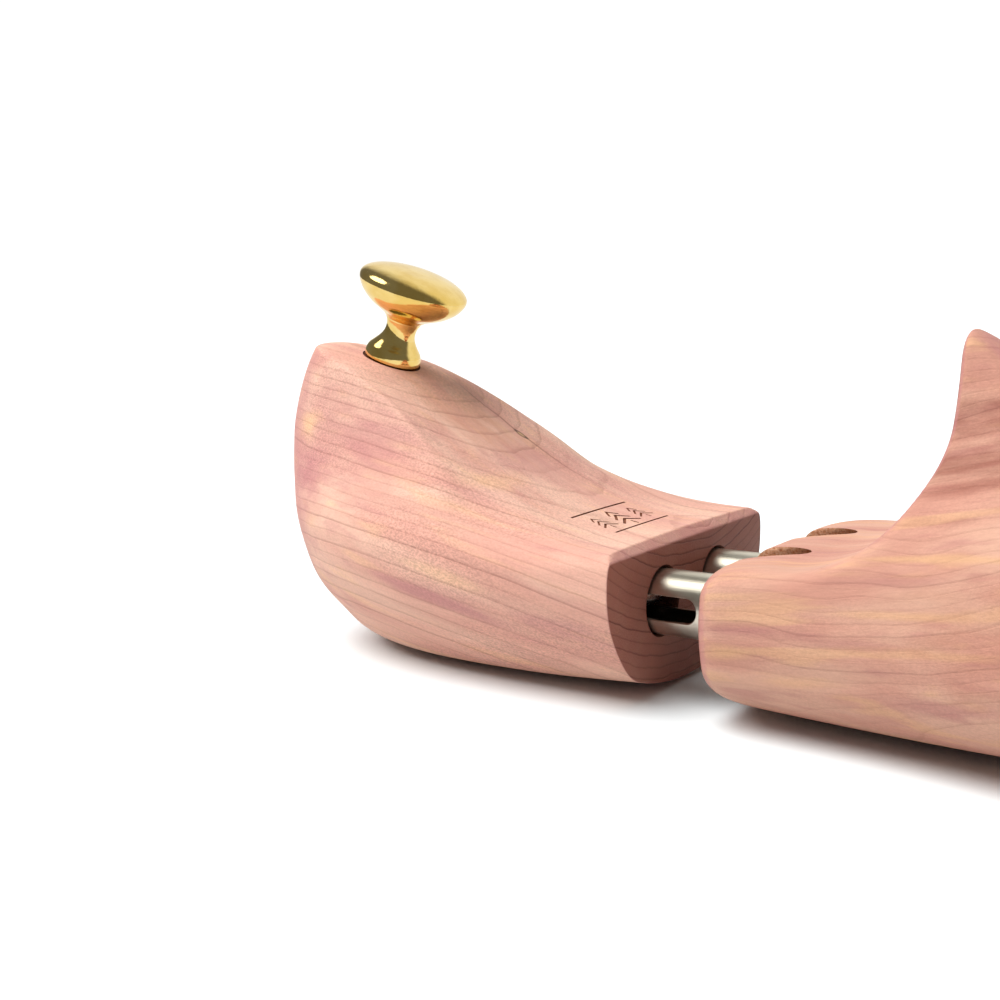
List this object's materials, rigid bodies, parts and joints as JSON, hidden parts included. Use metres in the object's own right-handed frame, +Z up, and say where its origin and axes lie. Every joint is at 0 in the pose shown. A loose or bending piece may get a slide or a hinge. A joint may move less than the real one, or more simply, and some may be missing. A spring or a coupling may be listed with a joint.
{
  "type": "shoe tree",
  "caption": "Cedar shoe tree: heel block on sprung telescopic tubes, tilting joint, split sprung toe and a brass pull knob.",
  "frame": {"origin": "on the flat under the heel block, midway between the two tubes, at the level that the tree stands on", "axes": "+X from the heel to the toe, +Y towards the medial (inner) side of the right foot, +Z up"},
  "size_m": [0.2846, 0.0956, 0.0821],
  "materials": {
    "cedar": "sanded, bare",
    "cedar_plug": "end grain, bare",
    "brass": "polished",
    "nickel_tube": "bright nickel plate",
    "steel": "zinc plated",
    "spring_steel": "bright drawn wire",
    "nylon": "moulded"
  },
  "bodies": {
    "forepart": {"forepart_block": "cedar", "tilt_pin": "steel", "tilt_pin_plug": "cedar_plug", "guide_pin_rear": "steel", "guide_pin_front": "steel", "toe_spring_rear": "spring_steel", "toe_spring_front": "spring_steel"},
    "tubes": {"tube_lateral": "nickel_tube", "tube_medial": "nickel_tube", "spring_seat_lateral": "nylon", "spring_seat_medial": "nylon"},
    "heel": {"heel_block": "cedar", "knob": "brass", "knob_stud": "steel", "heel_cross_pin": "steel", "heel_pin_plug": "cedar_plug", "heel_spring_lateral": "spring_steel", "heel_spring_medial": "spring_steel"},
    "toe_side": {"toe_side_block": "cedar", "stop_pin_rear": "steel", "stop_pin_front": "steel"}
  },
  "joints": [
    {"name": "tube_tilt", "type": "hinge", "parent": "forepart", "child": "tubes", "pos_m": [0.08, 0, 0.0182], "axis": [0, 1, 0], "range_deg": [0, 14.5]},
    {"name": "heel_slide", "type": "slide", "parent": "tubes", "child": "heel", "axis": [1, 0, 0], "range_m": [0, 0.0125], "stiffness_N_per_m": 1800, "springref_m": -0.008, "deforming": ["heel_spring_lateral", "heel_spring_medial"]},
    {"name": "toe_slide", "type": "slide", "parent": "forepart", "child": "toe_side", "axis": [0, 1, 0], "range_m": [0, 0.005], "stiffness_N_per_m": 2400, "springref_m": -0.004, "deforming": ["toe_spring_rear", "toe_spring_front"]}
  ]
}
